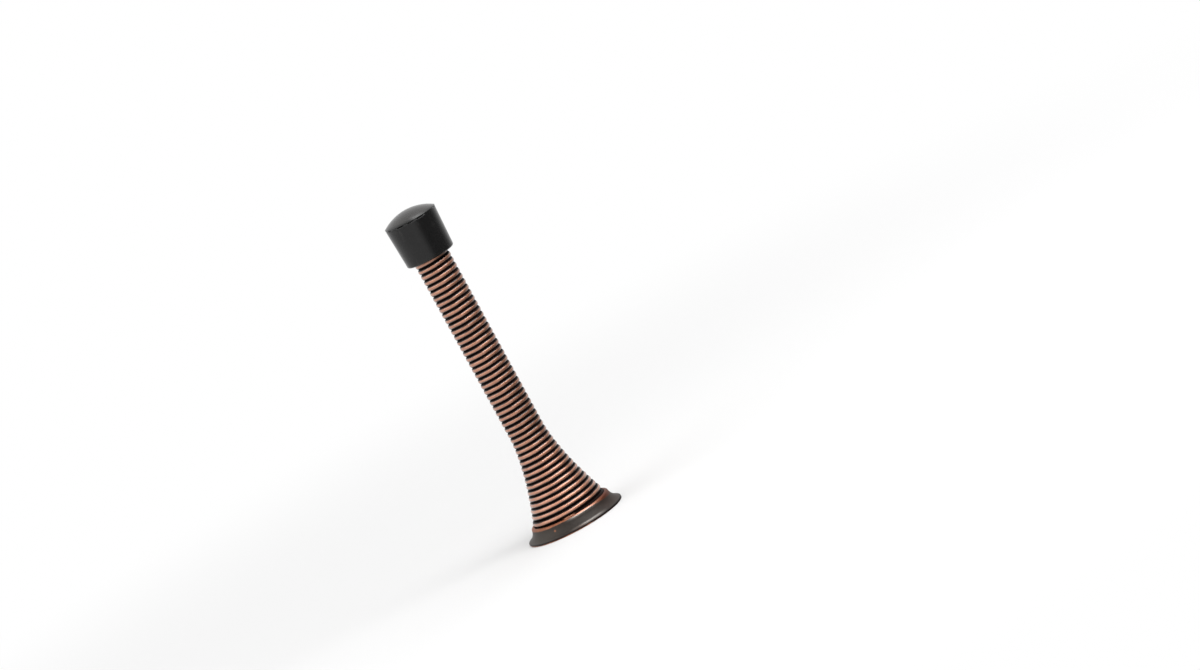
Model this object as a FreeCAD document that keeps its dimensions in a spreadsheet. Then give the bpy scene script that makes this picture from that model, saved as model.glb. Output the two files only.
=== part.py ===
import FreeCAD, Part
import math
import os

import Sketcher

Vector = FreeCAD.Vector

# Driving dimensions, in millimetres and degrees
SIZES = {
    "overall_length": 82.5,
    "floor_thickness": 1.1,
    "pocket_depth": 2.2,
    "lip_wall": 0.8,
    "lip_round": 0.6,
    "lip_inner_round": 0.1,
    "brim_width": 2.05,
    "rim_thickness": 0.45,
    "rim_round": 0.15,
    "screw_hole_diameter": 4.5,
    "seat_clearance": 0.05,
    "wire_diameter": 1.4,
    "coil_gap": 0.04,
    "body_coil_diameter": 8.75,
    "foot_coil_diameter": 18.2,
    "flare_height": 20.0,
    "foot_start_angle": 25.0,
    "tip_wall": 1.52,
    "tip_taper": 0.43,
    "tip_side_height": 10.3,
    "tip_crown_height": 1.95,
    "tip_solid_end": 4.6,
    "tip_crease_round": 0.2,
    "tip_mouth_round": 0.5,
    "tip_bore_round": 0.2,
    "tip_clearance": 0.05,
}

# Radii and heights of the base, worked out from the foot coil that sits in its pocket
ON_ORIGIN_LINE = "0"
HOLE_RADIUS = "Sizes.screw_hole_diameter / 2"
POCKET_RADIUS = "Sizes.foot_coil_diameter / 2 + Sizes.seat_clearance"
LIP_RADIUS = f"{POCKET_RADIUS} + Sizes.lip_wall"
RIM_RADIUS = f"{LIP_RADIUS} + Sizes.brim_width"
BASE_HEIGHT = "Sizes.floor_thickness + Sizes.pocket_depth"
SEAT_HEIGHT = "Sizes.floor_thickness + Sizes.seat_clearance"
FLARE_TOP = f"{BASE_HEIGHT} + Sizes.wire_diameter / 2 + Sizes.flare_height"

# Radii and heights of the tip, worked out from the coil that fills its bore
BORE_RADIUS = "Sizes.body_coil_diameter / 2 + Sizes.tip_clearance"
MOUTH_RADIUS = f"{BORE_RADIUS} + Sizes.tip_wall"
CROWN_RADIUS = f"{MOUTH_RADIUS} + Sizes.tip_taper"
TIP_LENGTH = "Sizes.tip_side_height + Sizes.tip_crown_height"
BORE_DEPTH = f"{TIP_LENGTH} - Sizes.tip_solid_end"
MOUTH_HEIGHT = "Sizes.overall_length - Sizes.tip_side_height - Sizes.tip_crown_height"
SPRING_TOP = "Sizes.overall_length - Sizes.tip_solid_end - Sizes.tip_clearance"

# The round wire is drawn as an eight-sided bar in straight runs, so that its many turns stay light
WIRE_SIDES = 8
BODY_RUNS_PER_TURN = 10
FLARE_RUNS_PER_TURN = 18

# The flare opens slowly at first and ever faster towards the foot, like a trumpet
TRUMPET_POWER = 1.62

MATCH = 1e-4


def make_sheet(doc):
    """Spreadsheet with one named cell for each driving dimension."""
    sheet = doc.addObject("Spreadsheet::Sheet", "Sizes")
    for row, (name, size) in enumerate(SIZES.items(), start=1):
        sheet.set(f"A{row}", name)
        sheet.set(f"B{row}", str(size))
        sheet.setAlias(f"B{row}", name)
    doc.recompute()
    return sheet


def value(sheet, formula):
    """What a formula over the sheet comes to."""
    return float(sheet.evalExpression(formula))


def make_profile(doc, name):
    """New body with a sketch on its XZ plane, where x is the radius and y the height."""
    body = doc.addObject("PartDesign::Body", name)
    body.Label = name
    sketch = body.newObject("Sketcher::SketchObject", f"{name}_profile")
    plane = next(item for item in body.Origin.OriginFeatures if item.Role == "XZ_Plane")
    sketch.AttachmentSupport = (plane, [""])
    sketch.MapMode = "FlatFace"
    return body, sketch


def add_outline(sheet, sketch, corners, arcs):
    """Close an outline through corners, each held by a formula for its radius and one for its height.

    arcs maps a corner's index to the centre of the arc that leaves it. Returns the sides' indexes.
    """
    axis, base_line = -2, -1
    points = [Vector(value(sheet, across), value(sheet, up), 0) for across, up in corners]
    sides = []
    for index, start in enumerate(points):
        end = points[(index + 1) % len(points)]
        if index in arcs:
            sides.append(add_arc(sketch, arcs[index], start, end))
        else:
            line = sketch.addGeometry(Part.LineSegment(start, end), False)
            sides.append((line, 1, 2))
    for index, (across, up) in enumerate(corners):
        before, _, before_end = sides[index - 1]
        here, here_start, _ = sides[index]
        join = Sketcher.Constraint("Coincident", before, before_end, here, here_start)
        sketch.addConstraint(join)
        spot = points[index]
        holds = (("DistanceX", axis, across, spot.x), ("DistanceY", base_line, up, spot.y))
        for kind, line, formula, size in holds:
            if formula == ON_ORIGIN_LINE:
                sketch.addConstraint(Sketcher.Constraint("PointOnObject", here, here_start, line))
            else:
                held = sketch.addConstraint(Sketcher.Constraint(kind, here, here_start, size))
                sketch.setExpression(f"Constraints[{held}]", formula)
    return [side for side, _, _ in sides]


def add_arc(sketch, centre, start, end):
    """Arc of under half a turn, with the numbers of its ends at start and at end."""
    first, last = (math.atan2((point - centre).y, (point - centre).x) for point in (start, end))
    circle = Part.Circle(centre, Vector(0, 0, 1), (start - centre).Length)
    if (last - first) % (2 * math.pi) < math.pi:
        return sketch.addGeometry(Part.ArcOfCircle(circle, first, last), False), 1, 2
    return sketch.addGeometry(Part.ArcOfCircle(circle, last, first), False), 2, 1


def revolve(doc, body, sketch):
    """Turn the profile once about the upright axis."""
    turned = body.newObject("PartDesign::Revolution", f"{body.Name}_turned")
    turned.Profile = sketch
    turned.ReferenceAxis = (sketch, ["V_Axis"])
    turned.Angle = 360.0
    doc.recompute()
    return turned


def round_edges(doc, sheet, body, feature, places, radius):
    """Round the circular edges that lie at the given formulas for radius and height."""
    wanted = [(value(sheet, across), value(sheet, up)) for across, up in places]
    names = []
    for number, edge in enumerate(feature.Shape.Edges, start=1):
        if not edge.Degenerated and isinstance(edge.Curve, Part.Circle):
            found = (edge.Curve.Radius, edge.Curve.Center.z)
            if any(math.dist(found, place) < MATCH for place in wanted):
                names.append(f"Edge{number}")
    rounded = body.newObject("PartDesign::Fillet", f"{feature.Name}_round")
    rounded.Base = (feature, names)
    rounded.Radius = value(sheet, radius)
    rounded.setExpression("Radius", radius)
    doc.recompute()
    return rounded


def make_base(doc, sheet):
    """Round base: flat back, screw hole, pocket for the spring's foot, rounded lip and swept skirt."""
    body, sketch = make_profile(doc, "base_cup")
    corners = [
        (HOLE_RADIUS, ON_ORIGIN_LINE),
        (RIM_RADIUS, ON_ORIGIN_LINE),
        (RIM_RADIUS, "Sizes.rim_thickness"),
        (LIP_RADIUS, BASE_HEIGHT),
        (POCKET_RADIUS, BASE_HEIGHT),
        (POCKET_RADIUS, "Sizes.floor_thickness"),
        (HOLE_RADIUS, "Sizes.floor_thickness"),
    ]
    skirt = corners.index((RIM_RADIUS, "Sizes.rim_thickness"))
    lip = corners.index((LIP_RADIUS, BASE_HEIGHT))

    # The skirt leaves the lip straight down, so its arc is centred level with the lip
    lip_radius, height = value(sheet, LIP_RADIUS), value(sheet, BASE_HEIGHT)
    run, drop = value(sheet, "Sizes.brim_width"), height - value(sheet, "Sizes.rim_thickness")
    skirt_radius = (run ** 2 + drop ** 2) / (2 * run)
    sides = add_outline(sheet, sketch, corners, {skirt: Vector(lip_radius + skirt_radius, height, 0)})
    sketch.addConstraint(Sketcher.Constraint("Horizontal", sides[skirt], 3, sides[lip], 1))

    solid = revolve(doc, body, sketch)
    rim = [(RIM_RADIUS, ON_ORIGIN_LINE), (RIM_RADIUS, "Sizes.rim_thickness")]
    rim_round = "min(Sizes.rim_round; 0.4 * Sizes.rim_thickness)"
    lip_round = "min(Sizes.lip_round; 0.75 * Sizes.lip_wall)"
    lip_inner_round = "min(Sizes.lip_inner_round; 0.2 * Sizes.lip_wall)"
    solid = round_edges(doc, sheet, body, solid, rim, rim_round)
    solid = round_edges(doc, sheet, body, solid, [(LIP_RADIUS, BASE_HEIGHT)], lip_round)
    round_edges(doc, sheet, body, solid, [(POCKET_RADIUS, BASE_HEIGHT)], lip_inner_round)
    return body


def coil_radius(sheet, height):
    """Radius of the wire's centre line at a height above the base's back."""
    inset = value(sheet, "Sizes.wire_diameter / 2")
    body = value(sheet, "Sizes.body_coil_diameter / 2") - inset
    foot = value(sheet, "Sizes.foot_coil_diameter / 2") - inset
    drop = (value(sheet, FLARE_TOP) - height) / value(sheet, "Sizes.flare_height")
    drop = min(max(drop, 0.0), 1.0)
    return body + (foot - body) * drop ** TRUMPET_POWER


def flare_lean(sheet, low, high):
    """How far the coils' outside faces upward between two heights."""
    return math.atan2(coil_radius(sheet, low) - coil_radius(sheet, high), high - low)


def wire_section(sheet, angle, height, lean):
    """Outline of the wire in the upright plane at this angle, as wide across its flats as the wire."""
    radius = coil_radius(sheet, height)
    above_seat = height - value(sheet, SEAT_HEIGHT)
    corner = value(sheet, "Sizes.wire_diameter / 2") / math.cos(math.pi / WIRE_SIDES)
    points = []
    for number in range(WIRE_SIDES):
        turn = lean + 2 * math.pi * (number + 0.5) / WIRE_SIDES
        reach = radius + corner * math.cos(turn)
        rise = above_seat + corner * math.sin(turn)
        points.append(Vector(reach * math.cos(angle), reach * math.sin(angle), rise))
    return Part.makePolygon(points + points[:1])


def make_spring(doc, sheet):
    """Close-wound coil, right-handed: straight for most of its length, flared out to the foot.

    Each turn lies against the one before, along the flare too, where the wire's flats lean with it.
    """
    wire = value(sheet, "Sizes.wire_diameter")
    pitch = wire + value(sheet, "Sizes.coil_gap")
    flare_top = value(sheet, FLARE_TOP)
    last_height = value(sheet, SPRING_TOP) - wire / 2
    angle = math.radians(value(sheet, "Sizes.foot_start_angle"))
    height = value(sheet, SEAT_HEIGHT) + wire / 2
    sections = []
    while height < last_height:
        lean = flare_lean(sheet, height - 1.5 * pitch, height + 1.5 * pitch)
        sections.append(wire_section(sheet, angle, height, lean))
        to_next = min(flare_lean(sheet, height - pitch, height), flare_lean(sheet, height, height + pitch))
        runs = FLARE_RUNS_PER_TURN if height < flare_top else BODY_RUNS_PER_TURN
        angle += 2 * math.pi / runs
        height += pitch * math.cos(to_next) / runs
    spring = doc.addObject("Part::Feature", "coil_spring")
    spring.Label = "coil_spring"
    spring.Shape = Part.makeLoft(sections, True, True)
    spring.setExpression("Placement.Base.z", SEAT_HEIGHT)
    return spring


def make_tip(doc, sheet):
    """Moulded rubber tip: crowned end, slightly tapered side and a blind bore for the spring."""
    body, sketch = make_profile(doc, "rubber_tip")
    corners = [
        (BORE_RADIUS, ON_ORIGIN_LINE),
        (MOUTH_RADIUS, ON_ORIGIN_LINE),
        (CROWN_RADIUS, "Sizes.tip_side_height"),
        (ON_ORIGIN_LINE, TIP_LENGTH),
        (ON_ORIGIN_LINE, BORE_DEPTH),
        (BORE_RADIUS, BORE_DEPTH),
    ]
    crease = corners.index((CROWN_RADIUS, "Sizes.tip_side_height"))

    # The crown is part of a ball whose centre lies on the axis
    half_width, rise = value(sheet, CROWN_RADIUS), value(sheet, "Sizes.tip_crown_height")
    ball_radius = (half_width ** 2 + rise ** 2) / (2 * rise)
    centre = Vector(0, value(sheet, TIP_LENGTH) - ball_radius, 0)
    sides = add_outline(sheet, sketch, corners, {crease: centre})
    axis = -2
    sketch.addConstraint(Sketcher.Constraint("PointOnObject", sides[crease], 3, axis))

    solid = revolve(doc, body, sketch)
    crease_edge = [(CROWN_RADIUS, "Sizes.tip_side_height")]
    solid = round_edges(doc, sheet, body, solid, crease_edge, "Sizes.tip_crease_round")
    mouth_round = "min(Sizes.tip_mouth_round; 0.5 * Sizes.tip_wall)"
    bore_round = "min(Sizes.tip_bore_round; 0.3 * Sizes.tip_wall)"
    solid = round_edges(doc, sheet, body, solid, [(MOUTH_RADIUS, ON_ORIGIN_LINE)], mouth_round)
    round_edges(doc, sheet, body, solid, [(BORE_RADIUS, ON_ORIGIN_LINE)], bore_round)
    body.setExpression("Placement.Base.z", MOUTH_HEIGHT)
    return body


def check_document(doc, pieces):
    """Stop if any object failed to compute or any piece is not one sound solid."""
    for item in doc.Objects:
        if {"Invalid", "Error"} & set(item.State):
            raise RuntimeError(f"{item.Label} failed: {item.State}")
    for piece in pieces:
        if piece.Shape.isNull() or not piece.Shape.isValid() or len(piece.Shape.Solids) != 1:
            raise RuntimeError(f"{piece.Label} is not one sound solid")


def main():
    doc = FreeCAD.newDocument("spring_door_stop")
    sheet = make_sheet(doc)
    pieces = [make_base(doc, sheet), make_spring(doc, sheet), make_tip(doc, sheet)]
    doc.recompute()
    check_document(doc, pieces)
    os.makedirs("parts", exist_ok=True)
    for piece in pieces:
        piece.Shape.exportStep(os.path.join("parts", f"{piece.Label}.step"))


main()
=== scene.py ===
import math

import bpy
from mathutils import Matrix, Vector, noise


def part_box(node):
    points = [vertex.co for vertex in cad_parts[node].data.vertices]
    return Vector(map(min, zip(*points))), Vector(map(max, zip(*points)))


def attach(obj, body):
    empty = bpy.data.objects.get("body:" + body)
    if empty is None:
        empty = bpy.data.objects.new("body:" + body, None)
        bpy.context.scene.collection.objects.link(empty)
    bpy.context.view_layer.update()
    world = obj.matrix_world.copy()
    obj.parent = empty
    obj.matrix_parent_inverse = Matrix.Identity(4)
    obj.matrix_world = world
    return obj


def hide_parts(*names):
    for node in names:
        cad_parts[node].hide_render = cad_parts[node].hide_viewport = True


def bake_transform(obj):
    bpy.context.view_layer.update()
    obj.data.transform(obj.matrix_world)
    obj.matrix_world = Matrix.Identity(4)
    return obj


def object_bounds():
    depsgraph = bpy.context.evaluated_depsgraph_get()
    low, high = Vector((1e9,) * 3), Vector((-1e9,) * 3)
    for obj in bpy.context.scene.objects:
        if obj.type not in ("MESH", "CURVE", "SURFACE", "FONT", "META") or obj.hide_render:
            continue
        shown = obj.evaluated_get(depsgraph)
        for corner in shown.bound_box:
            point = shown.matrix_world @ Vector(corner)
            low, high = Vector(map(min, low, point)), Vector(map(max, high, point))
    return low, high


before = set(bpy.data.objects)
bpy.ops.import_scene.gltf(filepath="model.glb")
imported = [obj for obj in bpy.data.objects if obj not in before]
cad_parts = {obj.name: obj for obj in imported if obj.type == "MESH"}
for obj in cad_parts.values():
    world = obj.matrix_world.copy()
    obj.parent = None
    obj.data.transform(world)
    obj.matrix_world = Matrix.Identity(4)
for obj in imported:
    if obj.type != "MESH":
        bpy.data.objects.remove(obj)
cad_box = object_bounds()
rim_radius, _, lip_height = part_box("base_cup")[1]
spring_low, spring_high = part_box("coil_spring")
tip_low, tip_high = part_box("rubber_tip")

MM = 0.001

# Where the photograph shows the middle of the base's back and the top of the crown, in its own pixels
PHOTO_SIZE = (1200, 670)
PHOTO_BASE = (575.6, 521.9)
PHOTO_CROWN = (406.5, 210.6)
VIEW_ELEVATION = math.radians(9.2)
CAMERA_DISTANCE = 1200 * MM
CAMERA_CLIP = 10 * MM
SENSOR_WIDTH = 36.0

# The spring's wire and its flare
WIRE_RADIUS = 0.7 * MM
PITCH = 1.44 * MM
BODY_COIL_RADIUS = 4.375 * MM
FOOT_COIL_RADIUS = 9.1 * MM
FLARE_HEIGHT = 20 * MM
TRUMPET_POWER = 1.62
FOOT_START_ANGLE = math.radians(25)
WIRE_STEPS_PER_TURN = 60
WIRE_STEPS_AROUND = 18

# How far the wire is filled out towards the turns beside it, so that no light shows between them
TURNS_TOUCH = 0.032 * MM

# The wire's finish: the shares of the way out to its crest between which buffing and lacquer set in, and how
# far patches and drawn lines shift them
BUFFED_CREST = (0.85, 0.95)
LACQUERED_CREST = (0.72, 0.87)
PATCHES_SHIFT = 0.2
DRAWN_SHIFT = 0.06

# Pattern levels between which specks of tarnish set in, and how much of the shine they take
TARNISH_SPECKS = (0.57, 0.70)
SPECKS_SHARE = 0.6

# The wire's first turns lie in the base's pocket, where no buffing reaches them, but for one spot at the
# front that is painted bright copper as a painted glint: metres along the wire and half its length, the
# heights over the wire's middle between which it sets in, and the share of the half length that is full
SUNK_WIRE = (66 * MM, 84 * MM)
GLINT_SPOT = (35.3 * MM, 1.6 * MM)
GLINT_UPPER_SIDE = (0.1 * WIRE_RADIUS, 0.35 * WIRE_RADIUS)
GLINT_FULL_SHARE = 0.4

# The rubber tip
TIP_BORE_RADIUS = 4.425 * MM
TIP_MOUTH_RADIUS = 5.945 * MM
TIP_CROWN_HEIGHT = 1.95 * MM
TIP_SOLID_END = 4.6 * MM
TIP_MOUTH_ROUND = 0.5 * MM
TIP_BORE_ROUND = 0.2 * MM
TIP_STEPS_AROUND = 240
BORE_ROUND_STEPS = 6
MOUTH_ROUND_STEPS = 10
SIDE_STEPS = 12
CROWN_STEPS = 22

# Rings of the crown, in degrees: the two nearest to its edge and the first of the rest, counted from the
# edge, and the last of the rest, counted from level
CROWN_EDGE_RINGS = (0.4, 1.2)
CROWN_REST_START = 2.5
CROWN_REST_END = 89

# The mould flash round the tip's crown: millimetres under the crease of each of its rings, and the ring's
# share of the bead that stands out there and of the dents under the bead
FLASH_RINGS = ((0.46, 0.0, 0.0), (0.4, 0.0, 0.2), (0.34, 0.0, 0.75), (0.27, 0.0, 1.0), (0.21, 0.0, 0.95),
               (0.16, 0.3, 0.45), (0.12, 0.8, 0.05), (0.07, 1.0, 0.0), (0.03, 0.8, 0.0))
FLASH_START = 0.6 * MM
FLASH_BEAD = 0.11 * MM
BEAD_WAVES = 2.2
DENT_DEPTH = 0.45 * MM

# Each dent's middle and half width, in degrees from the front towards the right, and its share of the depth
DENTS = ((-27, 13, 1.0), (-3, 16, 0.55), (22, 14, 1.0), (75, 12, 0.6), (130, 9, 0.7), (190, 14, 0.5),
         (250, 10, 0.8), (300, 12, 0.5))

# The base's finish: the bands under the lip and inside the rim that are worn or burnished, each from where it
# starts to where it is full, and the heights over the back between which the rim's worn lower edge fades
LIP_WEAR = (0.36 * MM, 0.06 * MM)
SHOULDER = (0.9 * MM, 0.5 * MM)
BRIM = (1.0 * MM, 0.5 * MM)
RIM_EDGE = (0.3 * MM, 0.1 * MM)
LOW_EDGE = (0.08 * MM, 0.22 * MM)

# How far the edges of the wear wander, and the pattern levels between which its grain turns from dull to full
WEAR_WANDER = 0.5 * MM
WORN_GRAIN = (0.3, 0.5)
WORN_GRAIN_LOW = 0.55

# Towards the left the patina is painted lighter as painted light, towards the right browner as painted shade,
# and the worn lip widens to both sides. Each side starts at its distance from the middle and is full after
# its span
LEFT_START = -1.0 * MM
LEFT_SPAN = 8.0 * MM
LEFT_WIDENING = 0.035
LEFT_LIP_SHARE = 0.75
LEFT_PAINTED_LIGHT_SHARE = 0.5
RIGHT_START = 4.5 * MM
RIGHT_SPAN = 5.0 * MM
RIGHT_COPPER_SHADE_SPAN = 4.5 * MM
RIGHT_WIDENING = 0.14
RIGHT_PAINTED_SHADE_SHARE = 0.6

# The burnished place at the front of the base, painted a paler bronze as a painted highlight: its middle, how
# far aside it fades and how far back
SHEEN_MIDDLE = 2.8 * MM
SHEEN_ASIDE = (2.4 * MM, 5.2 * MM)
SHEEN_BACK = (-6.0 * MM, -3.0 * MM)

# Brown spot where the base's plate is rubbed through, on the skirt left of the front
WEAR_SPOT = (-5.0 * MM, -8.83 * MM, 1.9 * MM)
WEAR_SPOT_EDGE = (0.1 * MM, 0.4 * MM)
WEAR_SPOT_LEVEL = 0.7

# Height over the crease within which the rubber turns to the crown's lighter grey, which is painted light,
# and the pattern levels between which scuffs set in
CROWN_LIGHT_FADE = 0.5 * MM
SCUFFS = (0.55, 0.8)

# Fineness of the patterns on the metal and on the rubber, in waves per metre
METAL_BROAD = 260.0
METAL_MOTTLE = 900.0
METAL_FINE = 5200.0
RUBBER_BROAD = 220.0
RUBBER_SCUFFS = 700.0
RUBBER_GRAIN = 4200.0

# Display colours; where there are two, the finish varies between them
BUFFED_COPPER = ((152, 98, 74), (206, 152, 124))
WIRE_TARNISH = ((12, 6, 5), (26, 13, 10))
PATINA = ((22, 17, 14), (46, 39, 34))
# Lighter patina on the left: painted light
PAINTED_LIGHT_LEFT = (66, 60, 54)
# Browner patina on the right: painted shade
PAINTED_SHADE_RIGHT = (40, 24, 16)
# Pale burnished bronze: a painted highlight
PAINTED_SHEEN_BRONZE = (96, 91, 86)
# Dark brown rim face: painted shade
RIM_PAINTED_SHADE = (18, 10, 7)
WORN_COPPER = ((116, 62, 41), (184, 124, 93))
# Darker copper on the right of the lip: painted shade
COPPER_PAINTED_SHADE_RIGHT = (94, 48, 32)
RUBBER_BLACK = ((11, 11, 11), (20, 19, 19))
# Lighter grey of the crown: painted light
CROWN_PAINTED_LIGHT = (46, 45, 44)
SCUFF_GREY = (48, 46, 45)

# The studio is white but for its right side, which shades that side of the metal: it darkens between the
# first two of these angles, in degrees from the front, and grows white again between the last two
DARK_SIDE = (-2, 30, 82, 146)
DARK_SIDE_LEVEL = 0.2
WHITE_CEILING = (0.35, 0.6)
STUDIO_LIGHT = 0.6

# The floor, as it lights the object and as it is seen, with the distances over which it fades into white
FLOOR_HALF_WIDTH = 3.0
FLOOR_GAP = 0.02 * MM
FLOOR_FADE = (0.06, 0.3)
FLOOR_PAINT = (0.8, 0.8, 0.8, 1)
FLOOR_PAINT_SEEN = (0.6, 0.6, 0.6, 1)
WHITE = (1, 1, 1, 1)

# Each lamp: degrees to the right of the front and above it, metres away, width, height and watts
LAMPS = {
    "key_light": (38, 43, 0.8, 1.1, 0.35, 6.5),
    "top_light": (100, 72, 0.8, 0.6, 0.4, 3.5),
    "fill_light": (-75, 35, 1.0, 0.9, 0.9, 3.5),
}


def srgb(red, green, blue):
    """Linear colour of a display colour given in 0 to 255."""
    channels = []
    for channel in (red, green, blue):
        share = channel / 255
        channels.append(share / 12.92 if share <= 0.04045 else ((share + 0.055) / 1.055) ** 2.4)
    return (*channels, 1.0)


class Nodes:
    """Short way to add and link the nodes of one material or world."""

    def __init__(self, owner):
        owner.use_nodes = True
        self.tree = owner.node_tree
        self.tree.nodes.clear()

    def add(self, kind, inputs=None, **settings):
        node = self.tree.nodes.new(kind)
        for name, setting in settings.items():
            setattr(node, name, setting)
        for key, given in (inputs or {}).items():
            self.feed(node.inputs[key], given)
        return node

    def feed(self, socket, given):
        if isinstance(given, bpy.types.NodeSocket):
            self.tree.links.new(given, socket)
        else:
            socket.default_value = given

    def math(self, operation, *values):
        return self.add("ShaderNodeMath", dict(enumerate(values)), operation=operation).outputs[0]

    def ramp(self, factor, low, high, start=0.0, end=1.0):
        """start below low, end above high and smooth between."""
        limits = {"Value": factor, "From Min": low, "From Max": high, "To Min": start, "To Max": end}
        return self.add("ShaderNodeMapRange", limits, interpolation_type="SMOOTHSTEP").outputs["Result"]

    def fade(self, factor, low, high):
        """1 below low, 0 above high and smooth between."""
        return self.ramp(factor, low, high, 1.0, 0.0)

    def near(self, place, edge, band):
        """0 further inside an edge than a band's start, 1 nearer to it than the band's end."""
        start, end = band
        return self.ramp(place, edge - start, edge - end)

    def vary(self, level, pattern, amount):
        """A level that a pattern shifts up and down by half an amount."""
        return self.math("MULTIPLY_ADD", self.math("SUBTRACT", pattern, 0.5), amount, level)

    def mix(self, factor, first, second):
        node = self.add("ShaderNodeMix", {"Factor": factor}, data_type="RGBA")
        colours = [socket for socket in node.inputs if socket.type == "RGBA"]
        for socket, given in zip(colours, (first, second)):
            self.feed(socket, given)
        return next(socket for socket in node.outputs if socket.type == "RGBA")

    def shades(self, pattern, colours):
        """Display colours that follow a pattern, from the first to the second."""
        first, second = colours
        return self.mix(pattern, srgb(*first), srgb(*second))

    def noise(self, place, scale, detail=3.0, roughness=0.55):
        inputs = {"Vector": place, "Scale": scale, "Detail": detail, "Roughness": roughness}
        return self.add("ShaderNodeTexNoise", inputs).outputs["Fac"]

    def stretch(self, place, scale):
        return self.add("ShaderNodeMapping", {"Vector": place, "Scale": scale}).outputs["Vector"]

    def object_place(self):
        return self.add("ShaderNodeTexCoord").outputs["Object"]

    def split(self, place):
        return self.add("ShaderNodeSeparateXYZ", {"Vector": place}).outputs

    def distance(self, place, spot):
        return self.add("ShaderNodeVectorMath", {0: place, 1: spot}, operation="DISTANCE").outputs["Value"]

    def reach(self, x, y):
        """Distance from the upright axis."""
        squares = self.math("ADD", self.math("MULTIPLY", x, x), self.math("MULTIPLY", y, y))
        return self.math("SQRT", squares)

    def studio(self, x, y):
        """Brightness of the studio in the direction of a place."""
        azimuth = self.math("ARCTAN2", x, self.math("MULTIPLY", y, -1.0))
        start, full, fading, end = (math.radians(side) for side in DARK_SIDE)
        darkens = self.ramp(azimuth, start, full, 1.0, DARK_SIDE_LEVEL)
        return self.math("MAXIMUM", darkens, self.ramp(azimuth, fading, end))

    def ray(self):
        """Whether a ray comes from the camera, and whether a surface mirrors or passes it."""
        path = self.add("ShaderNodeLightPath").outputs
        mirrored = self.math("MAXIMUM", path["Is Glossy Ray"], path["Is Transmission Ray"])
        return path["Is Camera Ray"], mirrored

    def backdrop(self, studio, camera, mirrored):
        """White to the camera; the studio in reflections, and softer as a light."""
        level = self.math("MULTIPLY", studio, self.ramp(mirrored, 0.0, 1.0, STUDIO_LIGHT, 1.0))
        return self.math("MAXIMUM", camera, level)

    def bump(self, height, strength, distance, normal=None):
        inputs = {"Height": height, "Strength": strength, "Distance": distance}
        if normal:
            inputs["Normal"] = normal
        return self.add("ShaderNodeBump", inputs).outputs["Normal"]

    def finish(self, inputs):
        shader = self.add("ShaderNodeBsdfPrincipled", inputs)
        self.add("ShaderNodeOutputMaterial", {"Surface": shader.outputs["BSDF"]})


def new_material(name):
    material = bpy.data.materials.new(name)
    return material, Nodes(material)


def spring_material():
    """Antique copper plate: buffed on the crests, near black between the coils and in the pocket.

    The wire carries its own straightened place: metres along it, then outward and up within its section.
    """
    material, nodes = new_material("antique_copper_wire")
    place = nodes.add("ShaderNodeAttribute", attribute_name="straightened").outputs["Vector"]
    along, out, up = nodes.split(place)
    drawn = nodes.noise(nodes.stretch(place, (0.07, 1.0, 1.0)), METAL_FINE, detail=4.0)
    patches = nodes.noise(nodes.stretch(place, (0.35, 1.0, 1.0)), METAL_MOTTLE)
    fine = nodes.noise(place, METAL_FINE, detail=4.0, roughness=0.65)
    crest = nodes.vary(nodes.math("DIVIDE", out, WIRE_RADIUS), patches, PATCHES_SHIFT)
    crest = nodes.vary(crest, drawn, DRAWN_SHIFT)
    clear = nodes.ramp(along, *SUNK_WIRE)
    buffed = nodes.math("MULTIPLY", nodes.ramp(crest, *BUFFED_CREST), clear)
    lacquered = nodes.math("MULTIPLY", nodes.ramp(crest, *LACQUERED_CREST), clear)
    spot, half_length = GLINT_SPOT
    from_spot = nodes.math("ABSOLUTE", nodes.math("SUBTRACT", along, spot))
    from_spot = nodes.vary(from_spot, fine, half_length)
    glint_spot = nodes.fade(from_spot, GLINT_FULL_SHARE * half_length, half_length)
    glint_spot = nodes.math("MULTIPLY", glint_spot, nodes.ramp(up, *GLINT_UPPER_SIDE))
    specks = nodes.ramp(fine, *TARNISH_SPECKS)
    # The front spot's bright copper is a painted glint
    shine = nodes.math("MAXIMUM", buffed, glint_spot)
    bright = nodes.math("MULTIPLY", shine, nodes.math("MULTIPLY_ADD", specks, -SPECKS_SHARE, 1.0))
    copper = nodes.shades(drawn, BUFFED_COPPER)
    tarnish = nodes.shades(patches, WIRE_TARNISH)
    nodes.finish({
        "Base Color": nodes.mix(bright, tarnish, copper),
        "Metallic": nodes.ramp(bright, 0.0, 0.6),
        "Specular IOR Level": 0.05,
        "Coat Weight": nodes.math("MAXIMUM", glint_spot, lacquered),
        "Coat Roughness": 0.12,
        "Roughness": nodes.math("MULTIPLY_ADD", fine, 0.2, 0.44),
        "Normal": nodes.bump(drawn, 0.4, 0.02 * MM, nodes.bump(fine, 0.2, 0.01 * MM)),
    })
    return material


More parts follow.
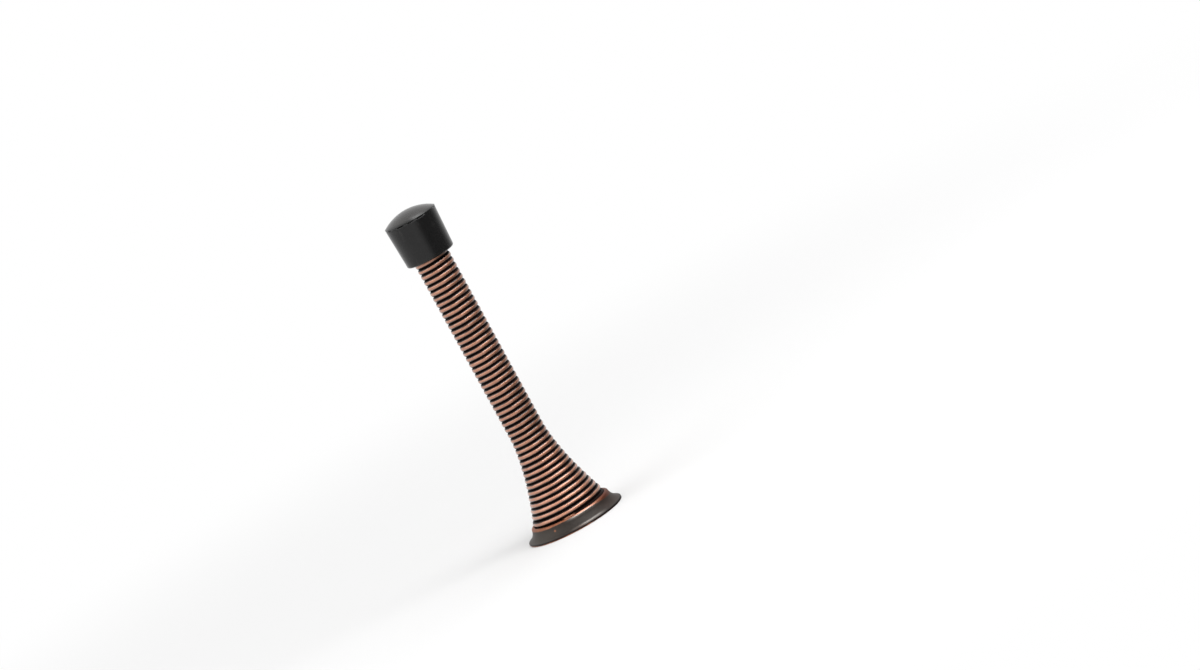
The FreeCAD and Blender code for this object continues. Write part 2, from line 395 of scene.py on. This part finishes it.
def base_material():
    """Dark bronze plate, worn to copper on the lip and on the rim's lower edge."""
    material, nodes = new_material("oil_rubbed_bronze")
    place = nodes.object_place()
    x, y, z = nodes.split(place)
    reach = nodes.reach(x, y)
    broad = nodes.noise(place, METAL_BROAD)
    mottle = nodes.noise(place, METAL_MOTTLE, detail=4.0)
    fine = nodes.noise(place, METAL_FINE, detail=4.0, roughness=0.65)
    left = nodes.math("MAXIMUM", nodes.math("SUBTRACT", LEFT_START, x), 0.0)
    right = nodes.math("MAXIMUM", nodes.math("SUBTRACT", x, RIGHT_START), 0.0)
    worn_height = nodes.math("MULTIPLY_ADD", left, LEFT_WIDENING, z)
    worn_height = nodes.math("MULTIPLY_ADD", right, RIGHT_WIDENING, worn_height)
    lip = nodes.near(nodes.vary(worn_height, broad, WEAR_WANDER), lip_height, LIP_WEAR)
    lip = nodes.math("MULTIPLY", lip, nodes.ramp(left, 0.0, LEFT_SPAN, 1.0, LEFT_LIP_SHARE))
    outer = nodes.near(reach, rim_radius, RIM_EDGE)
    low = nodes.fade(nodes.vary(z, broad, WEAR_WANDER), *LOW_EDGE)
    spot = nodes.fade(nodes.vary(nodes.distance(place, WEAR_SPOT), broad, WEAR_WANDER), *WEAR_SPOT_EDGE)
    spot = nodes.math("MULTIPLY", spot, WEAR_SPOT_LEVEL)
    worn = nodes.math("MAXIMUM", spot, nodes.math("MAXIMUM", lip, nodes.math("MULTIPLY", outer, low)))
    worn = nodes.math("MULTIPLY", worn, nodes.ramp(fine, *WORN_GRAIN, WORN_GRAIN_LOW, 1.0))
    shoulder = nodes.near(z, lip_height, SHOULDER)
    brim = nodes.near(reach, rim_radius, BRIM)
    aside = nodes.math("ABSOLUTE", nodes.math("SUBTRACT", x, SHEEN_MIDDLE))
    sheen_place = nodes.math("MULTIPLY", nodes.fade(aside, *SHEEN_ASIDE), nodes.fade(y, *SHEEN_BACK))
    burnished_and_sheen = nodes.math("SUBTRACT", nodes.math("MAXIMUM", shoulder, brim), outer)
    burnished_and_sheen = nodes.math("MULTIPLY", nodes.math("MAXIMUM", burnished_and_sheen, 0.0), sheen_place)
    # Painted light lightens the patina towards the left; painted shade browns it towards the right
    painted_light_left = nodes.ramp(left, 0.0, LEFT_SPAN, 0.0, LEFT_PAINTED_LIGHT_SHARE)
    painted_shade_right = nodes.ramp(right, 0.0, RIGHT_SPAN, 0.0, RIGHT_PAINTED_SHADE_SHARE)
    dark = nodes.shades(mottle, PATINA)
    dark = nodes.mix(painted_light_left, dark, srgb(*PAINTED_LIGHT_LEFT))
    dark = nodes.mix(painted_shade_right, dark, srgb(*PAINTED_SHADE_RIGHT))
    # Paler bronze where the front right is burnished: a painted highlight
    dark = nodes.mix(burnished_and_sheen, dark, srgb(*PAINTED_SHEEN_BRONZE))
    # The rim's outer face painted dark brown: painted shade
    dark = nodes.mix(outer, dark, srgb(*RIM_PAINTED_SHADE))
    copper = nodes.shades(mottle, WORN_COPPER)
    # Copper painted darker towards the right: painted shade
    copper = nodes.mix(nodes.ramp(right, 0.0, RIGHT_COPPER_SHADE_SPAN), copper, srgb(*COPPER_PAINTED_SHADE_RIGHT))
    nodes.finish({
        "Base Color": nodes.mix(worn, dark, copper),
        "Metallic": nodes.ramp(nodes.math("MAXIMUM", burnished_and_sheen, worn), 0.0, 1.0, 0.3, 0.9),
        "Specular IOR Level": 0.3,
        "Coat Weight": nodes.math("MULTIPLY", burnished_and_sheen, 0.8),
        "Coat Roughness": 0.14,
        "Roughness": nodes.math("MULTIPLY_ADD", mottle, 0.14, nodes.ramp(burnished_and_sheen, 0.0, 1.0, 0.46, 0.22)),
        "Normal": nodes.bump(mottle, 0.12, 0.05 * MM, nodes.bump(fine, 0.2, 0.01 * MM)),
    })
    return material


def rubber_material():
    """Matte black moulded rubber with a faint grain and scuffs; its crown, which meets the door, is painted a
    lighter grey as painted light.
    """
    material, nodes = new_material("black_rubber")
    place = nodes.object_place()
    _, _, z = nodes.split(place)
    crease = tip_high[2] - TIP_CROWN_HEIGHT
    crown = nodes.ramp(z, crease, crease + CROWN_LIGHT_FADE)
    broad = nodes.noise(place, RUBBER_BROAD)
    upright = nodes.stretch(place, (1.0, 1.0, 0.4))
    scuffs = nodes.ramp(nodes.noise(upright, RUBBER_SCUFFS, detail=5.0), *SCUFFS)
    grain = nodes.noise(place, RUBBER_GRAIN, detail=4.0)
    black = nodes.shades(broad, RUBBER_BLACK)
    # The crown painted a lighter grey: painted light
    black = nodes.mix(crown, black, srgb(*CROWN_PAINTED_LIGHT))
    nodes.finish({
        "Base Color": nodes.mix(nodes.math("MULTIPLY", scuffs, broad), black, srgb(*SCUFF_GREY)),
        "Specular IOR Level": 0.34,
        "Roughness": nodes.math("MULTIPLY_ADD", broad, 0.12, 0.17),
        "Normal": nodes.bump(broad, 0.1, 0.3 * MM, nodes.bump(grain, 0.25, 0.015 * MM)),
    })
    return material


def add_piece(name, points, faces, material):
    """A smooth-shaded mesh piece in the frame."""
    mesh = bpy.data.meshes.new(name)
    mesh.from_pydata(points, [], faces)
    mesh.polygons.foreach_set("use_smooth", [True] * len(faces))
    mesh.materials.append(material)
    mesh.update()
    piece = bpy.data.objects.new(name, mesh)
    bpy.context.scene.collection.objects.link(piece)
    return piece


def faces_between(rings, around):
    """Quads between rings of points that each go once around."""
    faces = []
    for ring in range(rings - 1):
        here, there = ring * around, (ring + 1) * around
        for spoke in range(around):
            after = (spoke + 1) % around
            faces.append((here + spoke, there + spoke, there + after, here + after))
    return faces


def coil_radius(height):
    """Radius of the wire's centre line at a height above the base's back."""
    flare_top = lip_height + WIRE_RADIUS + FLARE_HEIGHT
    drop = min(max((flare_top - height) / FLARE_HEIGHT, 0.0), 1.0)
    body = BODY_COIL_RADIUS - WIRE_RADIUS
    return body + (FOOT_COIL_RADIUS - BODY_COIL_RADIUS) * drop ** TRUMPET_POWER


def flare_lean(low, high):
    """How far the coils' outside faces upward between two heights."""
    return math.atan2(coil_radius(low) - coil_radius(high), high - low)


def wire_line():
    """Angle and height of the wire's centre line, step by step: each turn lies against the one before."""
    angle, height = FOOT_START_ANGLE, spring_low[2] + WIRE_RADIUS
    line = []
    while height < spring_high[2] - WIRE_RADIUS:
        line.append((angle, height))
        to_next = min(flare_lean(height - PITCH, height), flare_lean(height, height + PITCH))
        angle += math.tau / WIRE_STEPS_PER_TURN
        height += PITCH * math.cos(to_next) / WIRE_STEPS_PER_TURN
    return line


def make_spring():
    """The wire as one smooth tube along the flared helix, in place of the plainer solid coil."""
    line = wire_line()
    points, straightened = [], []
    along = 0.0
    for angle, height in line:
        radius = coil_radius(height)
        outward = Vector((math.cos(angle), math.sin(angle), 0))
        ahead = Vector((-outward.y * radius, outward.x * radius, PITCH / math.tau)).normalized()
        upward = outward.cross(ahead)
        centre = outward * radius + Vector((0, 0, height))
        worn_side = flare_lean(height - PITCH / 2, height + PITCH / 2)
        for spoke in range(WIRE_STEPS_AROUND):
            lean = math.tau * spoke / WIRE_STEPS_AROUND
            from_worn = lean - worn_side
            reach = WIRE_RADIUS + TURNS_TOUCH * math.sin(from_worn) ** 2
            points.append(centre + (outward * math.cos(lean) + upward * math.sin(lean)) * reach)
            straightened += (along, WIRE_RADIUS * math.cos(from_worn), WIRE_RADIUS * math.sin(from_worn))
        along += radius * math.tau / WIRE_STEPS_PER_TURN
    faces = faces_between(len(line), WIRE_STEPS_AROUND)
    last_ring = len(points) - WIRE_STEPS_AROUND
    faces.append(tuple(range(WIRE_STEPS_AROUND)))
    faces.append(tuple(reversed(range(last_ring, last_ring + WIRE_STEPS_AROUND))))
    spring = add_piece("spring_wire", points, faces, spring_material())
    places = spring.data.attributes.new("straightened", "FLOAT_VECTOR", "POINT")
    places.data.foreach_set("vector", straightened)
    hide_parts("coil_spring")
    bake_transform(spring)


def arc(centre, radius, first, last, steps):
    """Points of an arc in the tip's half section, from one angle to another in degrees."""
    points = []
    for step in range(steps + 1):
        angle = math.radians(first + (last - first) * step / steps)
        points.append((centre[0] + radius * math.cos(angle), centre[1] + radius * math.sin(angle)))
    return points


def straight(start, end, steps):
    """Points along a straight stretch of the tip's half section, without its start."""
    return [tuple(Vector(start).lerp(Vector(end), step / steps)) for step in range(1, steps + 1)]


def flash(angle, bead_share, dent_share):
    """How far the mould flash stands out, or a dent under it lies in, at one place round the crown."""
    bead = 0.5 + 0.5 * noise.noise(Vector((math.cos(angle), math.sin(angle), 1)) * BEAD_WAVES)
    azimuth = math.degrees(angle) + 90
    depths = [0.0]
    for middle, half_width, depth in DENTS:
        aside = ((azimuth - middle + 180) % 360 - 180) / half_width
        depths.append(depth * max(0.0, 1 - aside ** 2) ** 2)
    return bead_share * bead * FLASH_BEAD - dent_share * max(depths) * DENT_DEPTH


def tip_rings():
    """Half section of the tip from the end of its bore, round its mouth and up to its crown.

    Each ring is its radius, its height and its shares of the mould flash.
    """
    mouth, top, crown_radius = tip_low[2], tip_high[2], tip_high[0]
    crease = top - TIP_CROWN_HEIGHT
    bore_centre = (TIP_BORE_RADIUS + TIP_BORE_ROUND, mouth + TIP_BORE_ROUND)
    mouth_centre = (TIP_MOUTH_RADIUS - TIP_MOUTH_ROUND, mouth + TIP_MOUTH_ROUND)
    section = [(TIP_BORE_RADIUS, top - TIP_SOLID_END)]
    section += arc(bore_centre, TIP_BORE_ROUND, 180, 270, BORE_ROUND_STEPS)
    section += arc(mouth_centre, TIP_MOUTH_ROUND, 270, 360, MOUTH_ROUND_STEPS)
    section += straight(section[-1], (crown_radius, crease - FLASH_START), SIDE_STEPS)
    rings = [(*point, 0.0, 0.0) for point in section]
    rings += [(crown_radius, crease - drop * MM, bead, dent) for drop, bead, dent in FLASH_RINGS]
    ball_radius = (crown_radius ** 2 + TIP_CROWN_HEIGHT ** 2) / (2 * TIP_CROWN_HEIGHT)
    ball_centre = (0.0, top - ball_radius)
    crown_edge = math.degrees(math.acos(crown_radius / ball_radius))
    first, second = (crown_edge + degrees for degrees in CROWN_EDGE_RINGS)
    crown = arc(ball_centre, ball_radius, first, second, 1)
    crown += arc(ball_centre, ball_radius, crown_edge + CROWN_REST_START, CROWN_REST_END, CROWN_STEPS)
    return rings + [(*point, 0.0, 0.0) for point in crown]


def make_tip():
    """Rubber tip with the thin, uneven mould flash round its crown, in place of the plain solid."""
    rings = tip_rings()
    points = []
    for radius, height, bead, dent in rings:
        for spoke in range(TIP_STEPS_AROUND):
            angle = math.tau * spoke / TIP_STEPS_AROUND
            reach = radius + flash(angle, bead, dent)
            points.append((reach * math.cos(angle), reach * math.sin(angle), height))
    faces = faces_between(len(rings), TIP_STEPS_AROUND)
    last_ring = len(points) - TIP_STEPS_AROUND
    bore_end, apex = len(points), len(points) + 1
    points += [(0.0, 0.0, rings[0][1]), (0.0, 0.0, tip_high[2])]
    for spoke in range(TIP_STEPS_AROUND):
        after = (spoke + 1) % TIP_STEPS_AROUND
        faces.append((spoke, after, bore_end))
        faces.append((last_ring + spoke, apex, last_ring + after))
    faces = [tuple(reversed(face)) for face in faces]
    tip = add_piece("rubber_cap", points, faces, rubber_material())
    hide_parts("rubber_tip")
    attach(tip, "spring")


def dress_base():
    """Finish of the base's own solid."""
    material = base_material()
    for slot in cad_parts["base_cup"].material_slots:
        slot.material = material


def camera_axes(roll):
    """Right, up and back of a camera that looks along +Y from a little above, turned about its view."""
    level_right = Vector((1, 0, 0))
    level_up = Vector((0, math.sin(VIEW_ELEVATION), math.cos(VIEW_ELEVATION)))
    right = level_right * math.cos(roll) - level_up * math.sin(roll)
    up = level_right * math.sin(roll) + level_up * math.cos(roll)
    return right, up, right.cross(up)


def make_camera():
    """Camera that puts the axis from base to crown where the photograph shows it."""
    length = cad_box[1][2] - cad_box[0][2]
    middle = Vector((0, 0, length / 2))
    across, rise = PHOTO_CROWN[0] - PHOTO_BASE[0], PHOTO_BASE[1] - PHOTO_CROWN[1]
    right, up, back = camera_axes(math.atan2(-across, rise))
    metres_per_pixel = length * math.cos(VIEW_ELEVATION) / math.hypot(across, rise)
    aside = (PHOTO_BASE[0] + PHOTO_CROWN[0]) / 2 - PHOTO_SIZE[0] / 2
    above = PHOTO_SIZE[1] / 2 - (PHOTO_BASE[1] + PHOTO_CROWN[1]) / 2
    spot = middle + back * CAMERA_DISTANCE - (right * aside + up * above) * metres_per_pixel
    data = bpy.data.cameras.new("camera")
    data.sensor_width = SENSOR_WIDTH
    data.lens = SENSOR_WIDTH * CAMERA_DISTANCE / (PHOTO_SIZE[0] * metres_per_pixel)
    data.clip_start = CAMERA_CLIP
    camera = bpy.data.objects.new("camera", data)
    turn = Matrix((right, up, back)).transposed()
    camera.matrix_world = Matrix.Translation(spot) @ turn.to_4x4()
    bpy.context.scene.collection.objects.link(camera)
    bpy.context.scene.camera = camera


def make_world():
    """White to the camera; the studio in reflections, and softer as a light."""
    world = bpy.data.worlds.new("studio")
    bpy.context.scene.world = world
    nodes = Nodes(world)
    camera, mirrored = nodes.ray()
    x, y, z = nodes.split(nodes.add("ShaderNodeTexCoord").outputs["Generated"])
    studio = nodes.math("MAXIMUM", nodes.studio(x, y), nodes.ramp(z, *WHITE_CEILING))
    seen = nodes.backdrop(studio, camera, mirrored)
    sky = nodes.add("ShaderNodeBackground", {"Color": WHITE, "Strength": seen})
    nodes.add("ShaderNodeOutputWorld", {"Surface": sky.outputs[0]})


def make_floor():
    """Pale floor that keeps the object's shadow and fades into the white backdrop."""
    half = FLOOR_HALF_WIDTH
    corners = [(-half, -half, 0), (half, -half, 0), (half, half, 0), (-half, half, 0)]
    material, nodes = new_material("pale_floor")
    camera, mirrored = nodes.ray()
    x, y, _ = nodes.split(nodes.object_place())
    seen = nodes.backdrop(nodes.studio(x, y), camera, mirrored)
    far = nodes.math("MAXIMUM", mirrored, nodes.ramp(nodes.reach(x, y), *FLOOR_FADE))
    paint = nodes.mix(camera, FLOOR_PAINT, FLOOR_PAINT_SEEN)
    lit = nodes.add("ShaderNodeBsdfDiffuse", {"Color": paint})
    white = nodes.add("ShaderNodeEmission", {"Strength": seen})
    shader = nodes.add("ShaderNodeMixShader", {0: far, 1: lit.outputs[0], 2: white.outputs[0]})
    nodes.add("ShaderNodeOutputMaterial", {"Surface": shader.outputs[0]})
    floor = add_piece("floor", corners, [(0, 1, 2, 3)], material)
    floor.location.z = cad_box[0][2] - FLOOR_GAP


def around(azimuth, elevation, distance):
    """Place seen from the middle of the object: degrees to the right of its front, and above it."""
    a, e = math.radians(azimuth), math.radians(elevation)
    middle = Vector((0, 0, (cad_box[0][2] + cad_box[1][2]) / 2))
    return middle + Vector((math.sin(a) * math.cos(e), -math.cos(a) * math.cos(e), math.sin(e))) * distance


def make_light(name, spot, width, height, power):
    """Soft lamp that faces the middle of the object."""
    data = bpy.data.lights.new(name, "AREA")
    data.shape = "RECTANGLE"
    data.size, data.size_y = width, height
    data.energy = power
    lamp = bpy.data.objects.new(name, data)
    lamp.location = spot
    lamp.rotation_euler = (around(0, 0, 0) - spot).to_track_quat("-Z", "Y").to_euler()
    bpy.context.scene.collection.objects.link(lamp)


make_camera()
make_world()
make_floor()
for lamp_name, (azimuth, elevation, distance, *size_and_power) in LAMPS.items():
    make_light(lamp_name, around(azimuth, elevation, distance), *size_and_power)
make_spring()
make_tip()
dress_base()
bpy.context.scene.view_settings.view_transform = "Standard"
